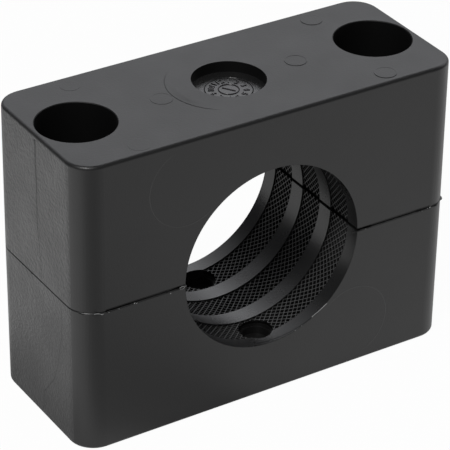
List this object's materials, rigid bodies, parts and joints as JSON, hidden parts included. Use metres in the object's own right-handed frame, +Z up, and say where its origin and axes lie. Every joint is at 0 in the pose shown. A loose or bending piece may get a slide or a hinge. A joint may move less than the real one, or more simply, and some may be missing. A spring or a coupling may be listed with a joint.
{
  "type": "hydraulic tube clamp",
  "caption": "Split moulded block that clamps a hydraulic tube in a ribbed, knurled bore, with a bolt hole near each end and a round recess in each outer face.",
  "frame": {"origin": "middle of the base, on the outer face of the lower half", "axes": "+X along the line of the bolt holes, +Y along the tube, +Z up through the bolt holes"},
  "size_m": [0.1142, 0.0452, 0.084],
  "materials": {
    "moulded_polypropylene": "black, moulded, satin with a fine spark-eroded grain on the ends"
  },
  "bodies": {
    "root": {"lower_clamp_half": "moulded_polypropylene", "upper_clamp_half": "moulded_polypropylene"}
  },
  "joints": []
}
